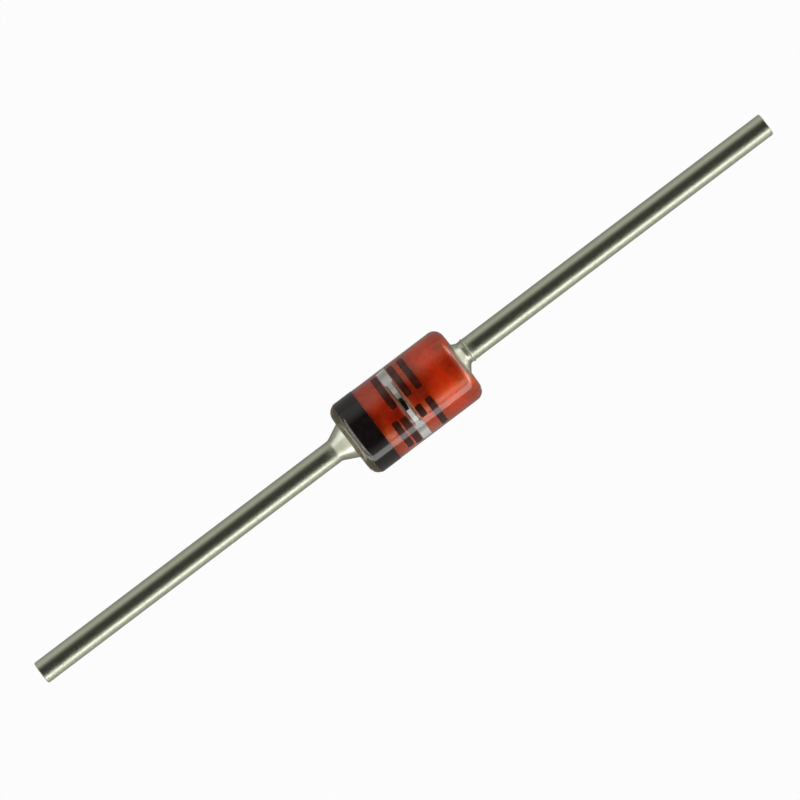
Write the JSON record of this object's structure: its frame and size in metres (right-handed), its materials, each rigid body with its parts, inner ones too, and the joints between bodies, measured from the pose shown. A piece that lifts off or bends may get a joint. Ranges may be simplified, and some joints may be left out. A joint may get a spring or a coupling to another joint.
{
  "type": "zener diode",
  "caption": "Axial-lead glass zener diode: clear glass sleeve fused over red metal plugs with a chip between them, a black cathode band and straight tinned wire leads.",
  "frame": {"origin": "middle of the glass sleeve, on its axis, which is also the middle of the whole part", "axes": "+X along the leads from the cathode to the anode, +Z towards the printed side"},
  "size_m": [0.0274, 0.0026, 0.0026],
  "materials": {
    "glass": "clear, fire-polished, faintly grey-green",
    "plug_oxide": "mottled red cuprous oxide on copper-clad nickel-iron",
    "tinned_wire": "satin tin on copper wire",
    "silicon": "dark, sawn edges",
    "silver": "matt silver",
    "ink": "fired black marking ink"
  },
  "bodies": {
    "root": {"glass_envelope": "glass", "cathode_plug": "plug_oxide", "anode_plug": "plug_oxide", "cathode_lead": "tinned_wire", "anode_lead": "tinned_wire", "silicon_die": "silicon", "anode_bump": "silver", "cathode_metal": "silver", "cathode_band": "ink", "ink_marks": "ink"}
  },
  "joints": []
}
